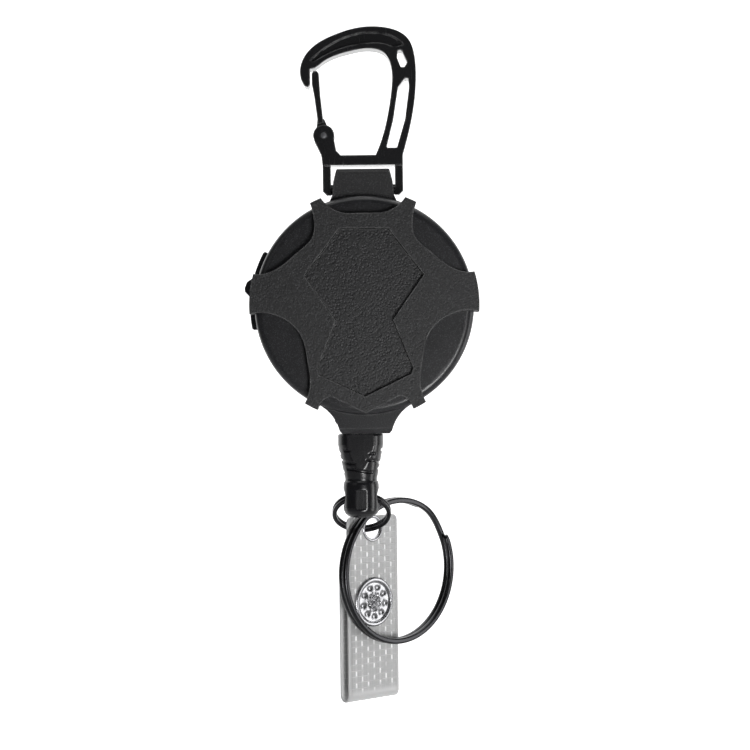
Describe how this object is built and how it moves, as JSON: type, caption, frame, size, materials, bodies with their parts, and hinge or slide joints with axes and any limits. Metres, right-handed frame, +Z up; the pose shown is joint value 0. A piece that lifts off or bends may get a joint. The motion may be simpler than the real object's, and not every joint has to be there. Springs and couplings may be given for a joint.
{
  "type": "retractable badge reel",
  "caption": "Round spring reel with a tilting carabiner, star-shaped trim, side lock, cord with rubber boot, snap strap and split key ring.",
  "frame": {"origin": "centre of the round case's rear face, on the spool's axis", "axes": "+Z up towards the carabiner, +Y out of the rear face, so the front faces -Y; +X to the right seen from the front"},
  "size_m": [0.0466, 0.0278, 0.1357],
  "materials": {
    "carabiner_metal": "gloss black coating on cast metal",
    "case_plastic": "satin smooth black",
    "cover_plastic": "fine-grained matt black",
    "inlay_plastic": "coarse-grained matt black",
    "lug_plastic": "matt dark grey",
    "slider_plastic": "matt black",
    "boot_rubber": "semi-gloss black rubber",
    "ring_steel": "dark nickel plate",
    "snap_steel": "bright nickel plate",
    "spring_steel": "blued spring steel",
    "screw_steel": "zinc plate",
    "acetal": "natural white",
    "vinyl": "clear vinyl with a woven mesh inside",
    "cord_braid": "black braided cord"
  },
  "bodies": {
    "carabiner": {"carabiner_frame": "carabiner_metal", "gate_pin": "carabiner_metal", "gate_spring": "spring_steel"},
    "gate": {"gate": "carabiner_metal"},
    "reel": {"rear_shell": "case_plastic", "front_shell": "case_plastic", "lug_cover": "lug_plastic", "star_cover": "cover_plastic", "inlay_panel": "inlay_plastic", "case_screws": "screw_steel", "arbor": "screw_steel", "arbor_screw": "screw_steel", "rear_washer": "acetal", "front_washer": "acetal", "power_spring": "spring_steel", "cord_guide": "acetal", "cord_run": "cord_braid", "pawl_spring": "spring_steel"},
    "spool": {"spool": "acetal", "spring_cover": "acetal", "cord_winding": "cord_braid"},
    "slider": {"lock_slider": "slider_plastic"},
    "pawl": {"lock_pawl": "acetal"},
    "cord_end": {"cord_lead": "cord_braid", "cord_crimp": "screw_steel"},
    "boot": {"boot": "boot_rubber"},
    "link": {"link_ring": "ring_steel"},
    "strap": {"badge_strap": "vinyl", "strap_fold": "vinyl", "strap_eyelet": "snap_steel", "snap_cap": "snap_steel", "snap_socket": "snap_steel"},
    "flap": {"strap_flap": "vinyl", "snap_stud": "snap_steel", "snap_post": "snap_steel"},
    "key_ring": {"key_ring": "ring_steel"}
  },
  "joints": [
    {"name": "carabiner_tilt", "type": "hinge", "parent": "carabiner", "child": "reel", "pos_m": [0, -0.0066, 0.0233], "axis": [1, 0, 0], "range_deg": [-85, 85]},
    {"name": "gate_open", "type": "hinge", "parent": "carabiner", "child": "gate", "pos_m": [-0.0077, -0.0066, 0.034], "axis": [0, 1, 0], "range_deg": [0, 25], "stiffness_Nm_per_rad": 0.01, "springref_deg": -34.38},
    {"name": "lock_slide", "type": "hinge", "parent": "reel", "child": "slider", "pos_m": [0, -0.0035, 0], "axis": [0, -1, 0], "range_deg": [0, 18]},
    {"name": "pawl_swing", "type": "hinge", "parent": "reel", "child": "pawl", "pos_m": [-0.01535, -0.0029, -0.00959], "axis": [0, 1, 0], "range_deg": [0, 9.01], "deforming": ["pawl_spring"]},
    {"name": "cord_pull", "type": "slide", "parent": "reel", "child": "cord_end", "axis": [0, 0, -1], "range_m": [0, 0.6641], "stiffness_N_per_m": 1, "springref_m": -2, "deforming": ["cord_lead"]},
    {"name": "spool_spin", "type": "hinge", "parent": "reel", "child": "spool", "pos_m": [0, -0.0066, 0], "axis": [0, 1, 0], "range_deg": [0, 2521], "deforming": ["cord_run"]},
    {"name": "boot_twist", "type": "hinge", "parent": "cord_end", "child": "boot", "pos_m": [-0.0011, -0.0066, -0.03], "axis": [0, 0, 1], "continuous": true},
    {"name": "link_swing", "type": "hinge", "parent": "boot", "child": "link", "pos_m": [-0.0011, -0.0066, -0.0381], "axis": [1, 0, 0], "range_deg": [-95, 30]},
    {"name": "strap_swing", "type": "hinge", "parent": "link", "child": "strap", "pos_m": [0.0009, 0.00127, -0.04509], "axis": [0.6561, -0.7547, 0], "range_deg": [-40, 15]},
    {"name": "flap_open", "type": "hinge", "parent": "strap", "child": "flap", "pos_m": [0.00011, 0.00217, -0.07864], "axis": [-0.7547, -0.6561, 0], "range_deg": [0, 70], "deforming": ["strap_fold"]},
    {"name": "key_ring_swing", "type": "hinge", "parent": "link", "child": "key_ring", "pos_m": [0.00006, -0.00218, -0.04197], "axis": [-0.7547, -0.6561, 0], "range_deg": [0, 30]}
  ],
  "couplings": [
    {"joint": "spool_spin", "follows": "cord_pull", "rad_per_m": 66.228},
    {"joint": "pawl_swing", "follows": "lock_slide", "ratio": 0.5}
  ]
}
